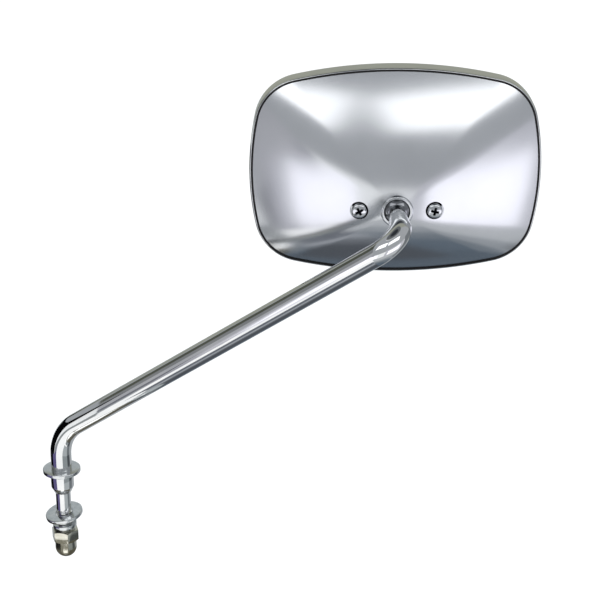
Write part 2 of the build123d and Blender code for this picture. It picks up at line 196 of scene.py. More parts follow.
# The camera stands where the photograph was taken from: behind the mirror, above it, straight on.
CAMERA_PLACE = Vector((0.1274, -0.8122, 0.4313))
CAMERA_DOWN = radians(21.56)
CAMERA_LENS = 102
CAMERA_SENSOR = 36
camera_data = bpy.data.cameras.new("camera")
camera_data.lens = CAMERA_LENS
camera_data.sensor_width = CAMERA_SENSOR
camera = bpy.data.objects.new("camera", camera_data)
camera.location = CAMERA_PLACE
camera.rotation_euler = (pi / 2 - CAMERA_DOWN, 0, 0)
bpy.context.scene.collection.objects.link(camera)
bpy.context.scene.camera = camera
bpy.context.scene.view_settings.view_transform = "Standard"


# Bench tools: how a piece is started, shaped and finished


def clear_bench():
    """Leaves edit mode with nothing selected, so that a step takes only what is picked for it."""
    if bpy.context.mode != "OBJECT":
        bpy.ops.object.mode_set(mode="OBJECT")
    bpy.ops.object.select_all(action="DESELECT")


def begin(name):
    """Names the primitive just added, puts its place into its mesh and opens it for shaping."""
    piece = bpy.context.object
    piece.name = name
    piece.data.name = name
    bpy.ops.object.transform_apply(location=True, rotation=True, scale=True)
    bpy.ops.object.mode_set(mode="EDIT")
    bpy.ops.mesh.select_all(action="SELECT")
    return piece


def draw_section(name, corners):
    """Draws a chain of edges through the corners: one point, extruded from corner to corner."""
    clear_bench()
    bpy.ops.mesh.primitive_plane_add(size=MM, location=corners[0] * MM)
    piece = begin(name)
    bpy.ops.mesh.merge(type="CENTER")
    for here, there in zip(corners, corners[1:]):
        bpy.ops.mesh.extrude_region_move(TRANSFORM_OT_translate={"value": (there - here) * MM})
    bpy.ops.mesh.select_all(action="SELECT")
    bpy.ops.mesh.remove_doubles(threshold=MERGE_GAP * MM)
    return piece


def swing(steps, angle, centre, axis):
    """Spins what is selected about an axis, right-handed; the operator counts the other way."""
    bpy.ops.mesh.spin(steps=steps, angle=-angle, center=centre * MM, axis=axis)


def pull_ring(step, scale=1.0, centre=ORIGIN):
    """Extrudes the selected ring by a step and then scales it about a centre."""
    bpy.ops.mesh.extrude_region_move(TRANSFORM_OT_translate={"value": step * MM})
    if scale != 1.0:
        bpy.ops.transform.resize(value=(scale, scale, scale), center_override=centre * MM)


def pick(piece, wanted):
    """Selects the corners whose place, in millimetres, is wanted."""
    bpy.ops.mesh.select_all(action="DESELECT")
    bpy.ops.object.mode_set(mode="OBJECT")
    for corner in piece.data.vertices:
        corner.select = wanted(corner.co / MM)
    bpy.ops.object.mode_set(mode="EDIT")


def cap_ends():
    """Puts a face over every open end."""
    bpy.ops.mesh.select_all(action="SELECT")
    bpy.ops.mesh.remove_doubles(threshold=MERGE_GAP * MM)
    bpy.ops.mesh.fill_holes(sides=0)


def close_up():
    """Merges the seams and turns every face outwards."""
    bpy.ops.mesh.select_all(action="SELECT")
    bpy.ops.mesh.remove_doubles(threshold=MERGE_GAP * MM)
    bpy.ops.mesh.normals_make_consistent(inside=False)
    bpy.ops.object.mode_set(mode="OBJECT")


def turn(name, section, centre=ORIGIN, axis=Z_AXIS, steps=TURN_STEPS):
    """A turned piece: its (radius, distance along the axis) corners drawn and spun once round."""
    corners = [centre + X_AXIS * radius + axis * along for radius, along in section]
    piece = draw_section(name, corners)
    swing(steps, 2 * pi, centre, axis)
    close_up()
    return piece


def take(piece):
    """Makes a piece the only one selected."""
    clear_bench()
    piece.select_set(True)
    bpy.context.view_layer.objects.active = piece


def settle(piece):
    """Puts a turned or moved piece's place into its mesh."""
    take(piece)
    bpy.ops.object.transform_apply(location=True, rotation=True, scale=True)


def copy(piece, name, step=ORIGIN):
    """Another piece like this one, with its own mesh, moved by a step."""
    take(piece)
    bpy.ops.object.duplicate(linked=False)
    other = bpy.context.object
    other.name = name
    other.data.name = name
    other.location = step * MM
    settle(other)
    return other


def apply_modifier(piece, kind, **settings):
    """Adds one modifier to a piece and applies it."""
    take(piece)
    modifier = piece.modifiers.new(kind.lower(), kind)
    for key, value in settings.items():
        setattr(modifier, key, value)
    bpy.ops.object.modifier_apply(modifier=modifier.name)


def combine(piece, tool, operation):
    """Cuts, joins or trims a piece with a tool, and throws the tool away."""
    apply_modifier(piece, "BOOLEAN", object=tool, operation=operation, solver="EXACT")
    bpy.data.objects.remove(tool)


def join(piece, *others):
    """Makes one mesh of several, with their own surfaces kept."""
    clear_bench()
    for other in (piece, *others):
        other.select_set(True)
    bpy.context.view_layer.objects.active = piece
    bpy.ops.object.join()


def break_edges(piece, width, steps=FINE_EDGE_STEPS, angle=KEEN_EDGE):
    """Takes the sharpness off every corner, as tumbling and plating do."""
    apply_modifier(
        piece,
        "BEVEL",
        width=width * MM,
        segments=steps,
        limit_method="ANGLE",
        angle_limit=angle,
        use_clamp_overlap=True,
    )


def shade(piece):
    """Smooth shading that keeps the real corners."""
    take(piece)
    bpy.ops.object.shade_smooth_by_angle(angle=KEEN_EDGE)


def arc(centre, radius, start, end, steps):
    """Points on an arc of a section, from one angle to another."""
    angles = [start + (end - start) * k / steps for k in range(steps + 1)]
    return [(centre[0] + radius * cos(a), centre[1] + radius * sin(a)) for a in angles]


# The head's outline: eight tangent arcs, met in turn clockwise from the middle of the top edge


def corner_centre():
    """Where the rounded corner's arc is centred, from the head's centre, in (x, z)."""
    top = Vector((0, HALF_HEIGHT - TOP_EDGE_RADIUS))
    side = Vector((HALF_WIDTH - SIDE_EDGE_RADIUS, 0))
    span = side - top
    near = TOP_EDGE_RADIUS - CORNER_RADIUS
    far = SIDE_EDGE_RADIUS - CORNER_RADIUS
    reach = (near**2 - far**2 + span.length**2) / (2 * span.length)
    step = span.normalized()
    return top + step * reach + Vector((step.y, -step.x)) * sqrt(near**2 - reach**2)


HEAD_CENTRE = Vector((BALL.x, 0, BALL.z + HEAD_RISE))
CORNER = corner_centre()
TOP_HALF_ANGLE = atan2(CORNER.x, CORNER.y - HALF_HEIGHT + TOP_EDGE_RADIUS)
SIDE_HALF_ANGLE = atan2(CORNER.y, CORNER.x - HALF_WIDTH + SIDE_EDGE_RADIUS)
CORNER_ANGLE = pi / 2 - TOP_HALF_ANGLE - SIDE_HALF_ANGLE
TOP_DROP = HALF_HEIGHT - TOP_EDGE_RADIUS
SIDE_DROP = HALF_WIDTH - SIDE_EDGE_RADIUS
# Each arc: its centre from the head's centre, its angle and its steps
OUTLINE_ARCS = (
    ((0, TOP_DROP), TOP_HALF_ANGLE, TOP_EDGE_STEPS // 2),
    ((CORNER.x, CORNER.y), CORNER_ANGLE, CORNER_STEPS),
    ((SIDE_DROP, 0), 2 * SIDE_HALF_ANGLE, SIDE_EDGE_STEPS),
    ((CORNER.x, -CORNER.y), CORNER_ANGLE, CORNER_STEPS),
    ((0, -TOP_DROP), 2 * TOP_HALF_ANGLE, TOP_EDGE_STEPS),
    ((-CORNER.x, -CORNER.y), CORNER_ANGLE, CORNER_STEPS),
    ((-SIDE_DROP, 0), 2 * SIDE_HALF_ANGLE, SIDE_EDGE_STEPS),
    ((-CORNER.x, CORNER.y), CORNER_ANGLE, CORNER_STEPS),
    ((0, TOP_DROP), TOP_HALF_ANGLE, TOP_EDGE_STEPS // 2),
)


def run_round_head(name, section):
    """Draws (inset, y) corners at the top of the head and spins them along its whole outline."""
    corners = [HEAD_CENTRE + Vector((0, y, HALF_HEIGHT - inset)) for inset, y in section]
    piece = draw_section(name, corners)
    for (x, z), angle, steps in OUTLINE_ARCS:
        swing(steps, angle, HEAD_CENTRE + Vector((x, 0, z)), Y_AXIS)
    bpy.ops.mesh.select_all(action="SELECT")
    bpy.ops.mesh.remove_doubles(threshold=MERGE_GAP * MM)
    return piece


# The pieces


def make_stem():
    """One bar: the stud's end, shank and shoulder, the two bends, and the neck at the ball."""
    clear_bench()
    tip = THREAD_CORE_RADIUS - STUD_END_CHAMFER
    bpy.ops.mesh.primitive_circle_add(
        vertices=ROD_SIDES, radius=tip * MM, fill_type="NOTHING", location=(0, 0, STUD_END_Z * MM)
    )
    stem = begin("stem_bar")
    stations = (
        (THREAD_CORE_RADIUS, STUD_END_Z + STUD_END_CHAMFER),
        (THREAD_CORE_RADIUS, THREAD_TOP_Z - THREAD_PITCH / 2),
        (STUD_RADIUS, THREAD_TOP_Z),
        (STUD_RADIUS, 0),
        (STUD_RELIEF_RADIUS, 0),
        (STUD_RELIEF_RADIUS, SHOULDER_Z),
        (ROD_RADIUS, SHOULDER_Z),
    )
    radius, z = tip, STUD_END_Z
    for next_radius, next_z in stations:
        pull_ring(Z_AXIS * (next_z - z), next_radius / radius, Z_AXIS * next_z)
        radius, z = next_radius, next_z

    lower_turn = acos(RUN.dot(Z_AXIS))
    lower_reach = LOWER_BEND_RADIUS * tan(lower_turn / 2)
    upper_turn = acos(RUN.dot(Y_AXIS))
    upper_reach = UPPER_BEND_RADIUS * tan(upper_turn / 2)
    bend_start = LOWER_CORNER - Z_AXIS * lower_reach
    pull_ring(bend_start - Z_AXIS * SHOULDER_Z)
    inward = (RUN - Z_AXIS * RUN.dot(Z_AXIS)).normalized()
    lower_centre = bend_start + inward * LOWER_BEND_RADIUS
    swing(BEND_STEPS, lower_turn, lower_centre, Z_AXIS.cross(RUN).normalized())
    run_start = LOWER_CORNER + RUN * lower_reach
    run_end = UPPER_CORNER - RUN * upper_reach
    pull_ring(run_end - run_start)
    inward = (Y_AXIS - RUN * RUN.dot(Y_AXIS)).normalized()
    upper_centre = run_end + inward * UPPER_BEND_RADIUS
    swing(BEND_STEPS, upper_turn, upper_centre, RUN.cross(Y_AXIS).normalized())
    bend_end = UPPER_CORNER + Y_AXIS * upper_reach
    neck_start = BALL - Y_AXIS * (NECK_FLAT + NECK_STRAIGHT)
    neck_end = BALL - Y_AXIS * NECK_FLAT
    pull_ring(neck_start - bend_end, NECK_RADIUS / ROD_RADIUS, neck_start)
    pull_ring(neck_end - neck_start)
    cap_ends()
    close_up()
    join(stem, make_thread())
    return stem


def make_thread():
    """The stud's rolled thread: one tooth's section wound up the stud, its lower end chamfered."""
    half_root = THREAD_PITCH * THREAD_ROOT_SHARE
    half_crest = THREAD_PITCH * THREAD_CREST_SHARE
    root = THREAD_CORE_RADIUS - THREAD_SINK
    crest = THREAD_CREST_RADIUS
    start_z = STUD_END_Z + half_root
    tooth = [(root, -half_root), (crest, -half_crest), (crest, half_crest)]
    tooth += [(root, half_root), (root, -half_root)]
    thread = draw_section("stem_thread", [Vector((radius, 0, start_z + z)) for radius, z in tooth])
    bpy.ops.object.mode_set(mode="OBJECT")
    wind(thread, 2 * pi, THREAD_PITCH, THREAD_TURNS, THREAD_STEPS)
    low = crest - STUD_END_CHAMFER
    far = STUD_RADIUS + CUTTER_MARGIN
    cone_end = STUD_END_Z + far - low
    end_cone = [(0, STUD_END_Z), (low, STUD_END_Z), (far, cone_end), (far, 0), (0, 0)]
    combine(thread, turn("stud_end", end_cone), "INTERSECT")
    return thread


def wind(piece, angle, rise, turns, steps):
    """Winds a drawn section up round the Z axis and closes both ends of the coil."""
    apply_modifier(
        piece,
        "SCREW",
        angle=angle,
        screw_offset=rise * MM,
        iterations=turns,
        steps=steps,
        render_steps=steps,
        use_merge_vertices=False,
    )
    bpy.ops.object.mode_set(mode="EDIT")
    cap_ends()
    close_up()


def make_flat_ring(name, bore, low, high):
    """A punched washer: flat, with its edges a little rounded by the punch and the tumbler."""
    section = [(bore, low), (WASHER_RADIUS, low), (WASHER_RADIUS, high), (bore, high), (bore, low)]
    washer = turn(name, section)
    break_edges(washer, WASHER_EDGE, ROUND_EDGE_STEPS)
    return washer


def make_foot_washer():
    """The washer between the rod's shoulder and the bush."""
    return make_flat_ring("foot_washer", BUSH_BORE_RADIUS, BUSH_LENGTH, SHOULDER_Z)


def make_loose_washer():
    """The washer that hangs tilted on the stud."""
    half = WASHER_THICKNESS / 2
    washer = make_flat_ring("loose_washer", FLAT_WASHER_HOLE_RADIUS, -half, half)
    washer.rotation_mode = "ZYX"
    washer.rotation_euler = (FLAT_WASHER_PITCH, -FLAT_WASHER_ROLL, 0)
    washer.location = Z_AXIS * FLAT_WASHER_Z * MM
    settle(washer)
    return washer


def make_bush():
    """The spacer under the foot washer, tapered where it centres in the bracket."""
    bore = BUSH_BORE_RADIUS
    section = [(bore, 0), (bore + BUSH_END_WALL, 0), (BUSH_RADIUS, BUSH_TAPER)]
    section += [(BUSH_RADIUS, BUSH_LENGTH), (bore, BUSH_LENGTH), (bore, 0)]
    bush = turn("taper_bush", section)
    break_edges(bush, BUSH_EDGE, angle=BLUNT_EDGE)
    return bush


def make_spring_ring():
    """A square-section ring cut across and sprung apart, as a coil of a little under one turn."""
    low = LOCK_WASHER_LOW_Z
    high = low + LOCK_WASHER_THICKNESS
    inner, outer = LOCK_WASHER_BORE_RADIUS, LOCK_WASHER_RADIUS
    places = ((inner, low), (outer, low), (outer, high), (inner, high), (inner, low))
    washer = draw_section("spring_ring", [Vector((radius, 0, z)) for radius, z in places])
    bpy.ops.object.mode_set(mode="OBJECT")
    wind(washer, 2 * pi - LOCK_WASHER_SPLIT, LOCK_WASHER_SPRING, 1, LOCK_WASHER_STEPS)
    washer.rotation_euler = (0, 0, pi / 2 + LOCK_WASHER_SPLIT / 2)
    settle(washer)
    break_edges(washer, LOCK_WASHER_EDGE, ROUND_EDGE_STEPS)
    return washer


def make_dome_nut():
    """A hexagon bar end, chamfered by turning, with a turned dome and a drilled bore."""
    corner_radius = NUT_ACROSS_FLATS / 2 / cos(pi / 6)
    clear_bench()
    bpy.ops.mesh.primitive_cylinder_add(
        vertices=6,
        radius=corner_radius * MM,
        depth=(NUT_TOP_Z - NUT_HEX_BOTTOM_Z) * MM,
        location=(0, 0, (NUT_TOP_Z + NUT_HEX_BOTTOM_Z) / 2 * MM),
        rotation=(0, 0, pi / 6 - NUT_TURN),
    )
    nut = begin("dome_nut")
    bpy.ops.object.mode_set(mode="OBJECT")
    flat = NUT_ACROSS_FLATS / 2
    far = corner_radius + CUTTER_MARGIN
    rise = (far - flat) * tan(HEX_CHAMFER)
    low, high = NUT_HEX_BOTTOM_Z, NUT_TOP_Z
    envelope = [(0, low), (flat, low), (far, low + rise)]
    envelope += [(far, high - rise), (flat, high), (0, high)]
    combine(nut, turn("nut_chamfer", envelope), "INTERSECT")
    break_edges(nut, NUT_EDGE)
    dome_top = low + NUT_DOME_OVERLAP
    dome = [(0, dome_top), (NUT_DOME_RADIUS, dome_top)]
    dome += arc((0, NUT_DOME_CENTRE_Z), NUT_DOME_RADIUS, 0, -pi / 2, DOME_STEPS)
    combine(nut, turn("nut_dome", dome), "UNION")
    drill_tip = NUT_BORE_END_Z - NUT_BORE_RADIUS * tan(HEX_CHAMFER)
    mouth = NUT_BORE_RADIUS + NUT_MOUTH_CHAMFER + CUTTER_MARGIN
    above = high + CUTTER_MARGIN
    bore = [(0, drill_tip), (NUT_BORE_RADIUS, NUT_BORE_END_Z)]
    bore += [(NUT_BORE_RADIUS, high - NUT_MOUTH_CHAMFER), (mouth, above), (0, above)]
    combine(nut, turn("nut_bore", bore), "DIFFERENCE")
    return nut


def make_sphere():
    """The ball, flat where the neck meets it."""
    section = [(0, -NECK_FLAT)]
    section += arc((0, 0), BALL_RADIUS, -atan2(NECK_FLAT, NECK_RADIUS), pi / 2, BALL_STEPS)
    return turn("pivot_sphere", section, BALL, Y_AXIS)


def make_screw():
    """The left clamp screw: a pan head with a cross recess, and its shank, driven home."""
    centre = BALL - X_AXIS * SCREW_OFFSET
    seat = SCREW_SEAT_Y - BALL.y
    end = SCREW_END_Y - BALL.y
    top = seat - SCREW_HEAD_HEIGHT
    flat = SCREW_HEAD_RADIUS - SCREW_HEAD_ROUND
    section = [(0, top), (flat / 2, top + SCREW_HEAD_CROWN / 4)]
    round_centre = (flat, top + SCREW_HEAD_CROWN + SCREW_HEAD_ROUND)
    round_start = -pi / 2 + SCREW_CROWN_SLOPE
    section += arc(round_centre, SCREW_HEAD_ROUND, round_start, 0, SCREW_ROUND_STEPS)
    section += [(SCREW_HEAD_RADIUS, seat), (SCREW_RADIUS, seat), (SCREW_RADIUS, end), (0, end)]
    screw = turn("cross_screw_left", section, centre, Y_AXIS, SCREW_STEPS)
    for quarter in (0, pi / 2):
        combine(screw, make_recess_bar(centre + Y_AXIS * top, quarter), "DIFFERENCE")
    mark_recess(screw, centre, centre.y + top + SCREW_RECESS_DEPTH / 2)
    drive(screw, SCREW_TURNS[0], centre)
    return screw


def mark_recess(screw, centre, half_depth_y):
    """Marks the corners in the lower half of the recess, for the painted shade down there."""
    recess = screw.data.attributes.new("recess", "FLOAT", "POINT")
    for corner, mark in zip(screw.data.vertices, recess.data):
        place = corner.co / MM
        deep = half_depth_y < place.y < SCREW_SEAT_Y
        mark.value = deep and (place - centre).xz.length < SCREW_RECESS_SPAN / 2


def drive(screw, angle, centre):
    """Turns a screw on its own axis."""
    take(screw)
    bpy.ops.object.mode_set(mode="EDIT")
    bpy.ops.mesh.select_all(action="SELECT")
    bpy.ops.transform.rotate(value=angle, orient_axis="Y", center_override=centre * MM)
    bpy.ops.object.mode_set(mode="OBJECT")


def copy_screw(screw):
    """The right clamp screw: the same screw, stopped at another angle."""
    other = copy(screw, "cross_screw_right", X_AXIS * 2 * SCREW_OFFSET)
    drive(other, SCREW_TURNS[1] - SCREW_TURNS[0], BALL + X_AXIS * SCREW_OFFSET)
    return other


def make_recess_bar(place, quarter):
    """One bar of the cross recess, in a driver blade's shape: it narrows towards its bottom."""
    clear_bench()
    bpy.ops.mesh.primitive_cube_add(size=MM, location=place * MM)
    bar = begin("recess_bar")
    size = (SCREW_RECESS_SPAN, 2 * SCREW_RECESS_DEPTH, SCREW_RECESS_WIDTH)
    bpy.ops.transform.resize(value=size, center_override=place * MM)
    pick(bar, lambda corner: corner.y > place.y)
    bpy.ops.transform.resize(value=SCREW_RECESS_TAPER, center_override=place * MM)
    bpy.ops.mesh.select_all(action="SELECT")
    bpy.ops.transform.rotate(value=quarter, orient_axis="Y", center_override=place * MM)
    bpy.ops.object.mode_set(mode="OBJECT")
    return bar


def make_dish():
    """The back's outer surface: a flange, a short wall, then rings that close on the ball."""
    flange_y = RIM_BACK_Y + RIM_WALL
    flange_edge = RIM_WALL + SHELL_FLANGE_GAP
    edge = [(flange_edge, flange_y), (SHELL_INSET, flange_y), (SHELL_INSET, RIM_BACK_Y)]
    dish = run_round_head("dished_back", edge)
    pick(dish, lambda corner: corner.y < RIM_BACK_Y + PLACE_SLACK)
    scale, y = 1.0, RIM_BACK_Y
    for k in range(1, SHELL_RINGS + 1):
        next_scale = 1.0 - (1.0 - SHELL_LAST_RING) * k / SHELL_RINGS
        next_y = RIM_BACK_Y - SHELL_DEPTH * (1 - next_scale**2)
        pull_ring(Y_AXIS * (next_y - y), next_scale / scale, Vector((BALL.x, next_y, BALL.z)))
        scale, y = next_scale, next_y
    close_up()
    return dish


def make_shell():
    """The pressed back: the dish as sheet, cut for ball and screws, and the two screw seats."""
    shell = make_dish()
    block = copy(shell, "shell_block", Y_AXIS * SCREW_CUP_SINK)
    bpy.ops.object.mode_set(mode="EDIT")
    cap_ends()
    close_up()
    apply_modifier(shell, "SOLIDIFY", thickness=SHELL_WALL * MM, offset=-1, use_even_offset=True)
    seat = SCREW_SEAT_Y - BALL.y
    far = -SHELL_DEPTH
    cups = []
    for side, name in ((-1, "screw_seat_left"), (1, "screw_seat_right")):
        centre = BALL + X_AXIS * side * SCREW_OFFSET
        cup_radius = SCREW_SEAT_RADIUS + SHELL_WALL
        cup_floor = seat + SHELL_WALL
        section = [(0, far), (cup_radius, far), (cup_radius, cup_floor), (0, cup_floor)]
        cup = turn(name, section, centre, Y_AXIS)
        combine(cup, copy(block, "cup_block"), "INTERSECT")
        pocket = [(0, far), (SCREW_SEAT_RADIUS, far), (SCREW_SEAT_RADIUS, seat)]
        pocket += [(SCREW_HOLE_RADIUS, seat), (SCREW_HOLE_RADIUS, 0), (0, 0)]
        combine(cup, turn("seat_pocket", pocket, centre, Y_AXIS), "DIFFERENCE")
        combine(shell, turn("seat_pocket", pocket, centre, Y_AXIS), "DIFFERENCE")
        cups.append(cup)
    bpy.data.objects.remove(block)
    hole = [(0, far), (SHELL_HOLE_RADIUS, far), (SHELL_HOLE_RADIUS, 0), (0, 0)]
    combine(shell, turn("ball_hole", hole, BALL, Y_AXIS), "DIFFERENCE")
    join(shell, make_collar())
    return shell, *cups


def make_collar():
    """The lip of the ball's seat: a slice of a hollow sphere."""
    ends = (SEAT_FRONT, SEAT_BACK)
    inner_start, inner_end = [asin(y / SEAT_RADIUS) for y in ends]
    outer_start, outer_end = [asin(y / SEAT_OUTER_RADIUS) for y in ends]
    section = arc((0, 0), SEAT_RADIUS, inner_start, inner_end, COLLAR_STEPS)
    section += arc((0, 0), SEAT_OUTER_RADIUS, outer_end, outer_start, COLLAR_STEPS)
    collar = turn("seat_collar", section + section[:1], BALL, Y_AXIS)
    break_edges(collar, SEAT_EDGE, ROUND_EDGE_STEPS)
    return collar


def make_rim():
    """The rolled ring: a band with both edges turned in, over the shell's flange and the glass."""
    roll = arc((1, 1), 1, -pi / 2, -pi, RIM_ROLL_STEPS)
    section = [(RIM_BACK_LIP * x, RIM_BACK_Y + RIM_BACK_FALL * y) for x, y in roll]
    round_centre = (RIM_FRONT_ROUND, RIM_FRONT_Y - RIM_FRONT_ROUND)
    section += arc(round_centre, RIM_FRONT_ROUND, pi, pi / 2, RIM_ROUND_STEPS)
    inner_y = RIM_BACK_Y + RIM_WALL
    section += [(RIM_FRONT_LIP, RIM_FRONT_Y), (RIM_FRONT_LIP, GLASS_FRONT_Y)]
    section += [(RIM_WALL, GLASS_FRONT_Y), (RIM_WALL, inner_y), (RIM_BACK_LIP, inner_y), section[0]]
    rim = run_round_head("rolled_rim", section)
    close_up()
    return rim


def make_crease_shade_bead():
    """A black bead where the rim closes on the back: a dark piece put there as the crease's painted
    shade.
    """
    bead_y = RIM_BACK_Y + SHADE_BEAD_DROP
    root_y = RIM_BACK_Y + RIM_WALL
    section = [(SHADE_BEAD_INSET - SHADE_BEAD_RADIUS, root_y)]
    section += arc((SHADE_BEAD_INSET, bead_y), SHADE_BEAD_RADIUS, -pi, 0, SHADE_BEAD_STEPS)
    section += [(SHADE_BEAD_INSET + SHADE_BEAD_RADIUS, root_y), section[0]]
    seal = run_round_head("crease_shade_bead", section)
    close_up()
    return seal


def make_mirror():
    """The flat mirror, its edge ground a little."""
    face_inset = GLASS_INSET + GLASS_GRIND
    section = [(face_inset, GLASS_BACK_Y), (GLASS_INSET, GLASS_BACK_Y + GLASS_GRIND)]
    section += [(GLASS_INSET, GLASS_FRONT_Y - GLASS_GRIND), (face_inset, GLASS_FRONT_Y)]
    glass = run_round_head("flat_mirror", section)
    cap_ends()
    close_up()
    return glass


# Materials: each from what the real one is, with its pattern sizes in millimetres; where one
# carries painted shade, its comment says so


def linear(colour):
    """An sRGB hex colour as the linear colour that shaders take."""
    parts = [int(colour[k : k + 2], 16) / 255 for k in (1, 3, 5)]
    straight = [p / 12.92 if p <= 0.04045 else ((p + 0.055) / 1.055) ** 2.4 for p in parts]
    return (*straight, 1.0)


def add_node(tree, kind, inputs=None, **settings):
    """Adds a node, with its settings, its input values and its links."""
    made = tree.nodes.new(kind)
    for key, value in settings.items():
        setattr(made, key, value)
    for key, value in (inputs or {}).items():
        if isinstance(value, bpy.types.NodeSocket):
            tree.links.new(value, made.inputs[key])
        else:
            made.inputs[key].default_value = value
    return made


def per_metre(size_mm):
    """A texture's scale from the size of one of its features."""
    return 1 / (size_mm * MM)


# How the patches and the grain are drawn, and where in the patches shade and polish change over
MOTTLE_DETAIL = 4.0
MOTTLE_ROUGHNESS = 0.6
GRAIN_DETAIL = 2.0
SHADE_SPAN = (0.35, 0.65)
POLISH_SPAN = (0.3, 0.7)


def surface(name, shades, polish, mottle_mm, grain_mm, grain_height_mm):
    """A worked surface: two near shades and polishes in soft patches, over a fine even grain."""
    material = bpy.data.materials.new(name)
    material.use_nodes = True
    tree = material.node_tree
    shader = tree.nodes["Principled BSDF"]
    place = add_node(tree, "ShaderNodeTexCoord").outputs["Object"]
    patches = {
        "Vector": place,
        "Scale": per_metre(mottle_mm),
        "Detail": MOTTLE_DETAIL,
        "Roughness": MOTTLE_ROUGHNESS,
    }
    mottle = add_node(tree, "ShaderNodeTexNoise", patches).outputs["Fac"]
    fine = {"Vector": place, "Scale": per_metre(grain_mm), "Detail": GRAIN_DETAIL}
    grain = add_node(tree, "ShaderNodeTexNoise", fine).outputs["Fac"]
    ramp = add_node(tree, "ShaderNodeValToRGB", {"Fac": mottle})
    for stop, position, colour in zip(ramp.color_ramp.elements, SHADE_SPAN, shades):
        stop.position = position
        stop.color = linear(colour)
    spread = {
        "Value": mottle,
        "From Min": POLISH_SPAN[0],
        "From Max": POLISH_SPAN[1],
        "To Min": polish[0],
        "To Max": polish[1],
    }
    rough = add_node(tree, "ShaderNodeMapRange", spread).outputs["Result"]
    relief = {"Height": grain, "Distance": grain_height_mm * MM}
    bump = add_node(tree, "ShaderNodeBump", relief).outputs["Normal"]
    tree.links.new(ramp.outputs["Color"], shader.inputs["Base Color"])
    tree.links.new(rough, shader.inputs["Roughness"])
    tree.links.new(bump, shader.inputs["Normal"])
    return material


def metal(*looks):
    """A surface of bare or plated metal, or of silvering."""
    material = surface(*looks)
    material.node_tree.nodes["Principled BSDF"].inputs["Metallic"].default_value = 1.0
    return material


def moulded(shine, *looks):
    """A moulded plastic or rubber: its cloud and the mould's texture, under a shine of its own."""
    material = surface(*looks)
    shader = material.node_tree.nodes["Principled BSDF"]
    shader.inputs["Specular IOR Level"].default_value = shine
    return material


# Bright chrome plate on a polished bar: mirror-sharp streaks that handling smudges barely soften
bright_chrome = metal("bright_chrome_plate", ("#D9DBDC", "#E3E4E4"), (0.03, 0.07), 14, 1.2, 0.0002)
# Chrome over pressed sheet that was only buffed: the room shows as soft pale and dark zones
buffed_chrome = metal("buffed_chrome_sheet", ("#D5D7DA", "#DADCDF"), (0.19, 0.21), 40, 0.9, 0.0002)
# Zinc plate on punched steel: grey, satin, faintly cloudy
zinc_plate = metal("zinc_plated_steel", ("#C6CACC", "#D8DADA"), (0.12, 0.22), 3.5, 0.5, 0.003)
# Bright nickel on a turned nut: a warmer, slightly olive mirror
bright_nickel = metal("bright_nickel_plate", ("#C7C5B8", "#D4D2C7"), (0.10, 0.16), 5, 0.6, 0.001)
# Plated screws, formed cold: bright, in faintly uneven patches
screw_plate = metal("plated_screw_steel", ("#C8CBCE", "#D4D6D8"), (0.05, 0.09), 2.5, 0.4, 0.0005)
# The ball's polished steel, made far darker than steel is: painted shade for the dark gap in its
# collar
shaded_ball_steel = metal("greased_ball_steel", ("#76787C", "#8A8C90"), (0.06, 0.12), 3, 0.5, 0.0005)
# Plain pressed steel inside the head: dull grey, in uneven patches
mill_steel = metal("plain_pressed_steel", ("#8D9093", "#A2A5A7"), (0.35, 0.5), 4, 0.5, 0.006)
# The screw seats' steel, dull and painted near black: painted shade in the pockets round the screw
# heads
seat_painted_shade = metal("bare_seat_steel", ("#1A1B1E", "#26282B"), (0.45, 0.6), 3, 0.4, 0.004)
# Glass silvered on its back: a nearly perfect mirror, a touch green
silvered_glass = metal("silvered_mirror_glass", ("#DCE5E2", "#E0E8E5"), (0.0, 0.004), 60, 8, 0.0)
# Black rubber, also on the crease's bead of painted shade: deep grey, dull, with a bloom
black_rubber = moulded(0.25, "black_rubber", ("#0E0E0F", "#19191A"), (0.6, 0.8), 6, 0.4, 0.01)
# Natural nylon cup: milky off-white with a moulded sheen
natural_nylon = moulded(0.5, "natural_nylon", ("#DDD8C8", "#E6E2D4"), (0.35, 0.45), 5, 0.5, 0.004)

# Where the recess's mark starts to darken the plating with painted shade, and where it is fully
# dark
RECESS_SHADE_FADE = (0.2, 0.5)
# A Mix node's sockets by number: two colours and their mix, two values and theirs
COLOUR_A, COLOUR_B, COLOUR_MIXED = 6, 7, 2
VALUE_A, VALUE_B, VALUE_MIXED = 2, 3, 0


def paint_recess_shade(material, colour, rough):
    """Paints shade into the plating where a screw's recess is marked: dark and dull down there."""
    tree = material.node_tree
    shader = tree.nodes["Principled BSDF"]
    mark = add_node(tree, "ShaderNodeAttribute", attribute_name="recess").outputs["Fac"]
    span = {"Value": mark, "From Min": RECESS_SHADE_FADE[0], "From Max": RECESS_SHADE_FADE[1]}
    black = add_node(tree, "ShaderNodeMapRange", span).outputs["Result"]
    plain = shader.inputs["Base Color"].links[0].from_socket
    shades = {"Factor": black, COLOUR_A: plain, COLOUR_B: linear(colour)}
    mixed = add_node(tree, "ShaderNodeMix", shades, data_type="RGBA").outputs[COLOUR_MIXED]
    polish = shader.inputs["Roughness"].links[0].from_socket
    polishes = {"Factor": black, VALUE_A: polish, VALUE_B: rough}
    dulled = add_node(tree, "ShaderNodeMix", polishes).outputs[VALUE_MIXED]
    tree.links.new(mixed, shader.inputs["Base Color"])
    tree.links.new(dulled, shader.inputs["Roughness"])


# Painted shade in the screws' cross recesses: near black and dull in their lower half
paint_recess_shade(screw_plate, "#15161B", 0.5)

screw_left = make_screw()
shell, seat_left, seat_right = make_shell()
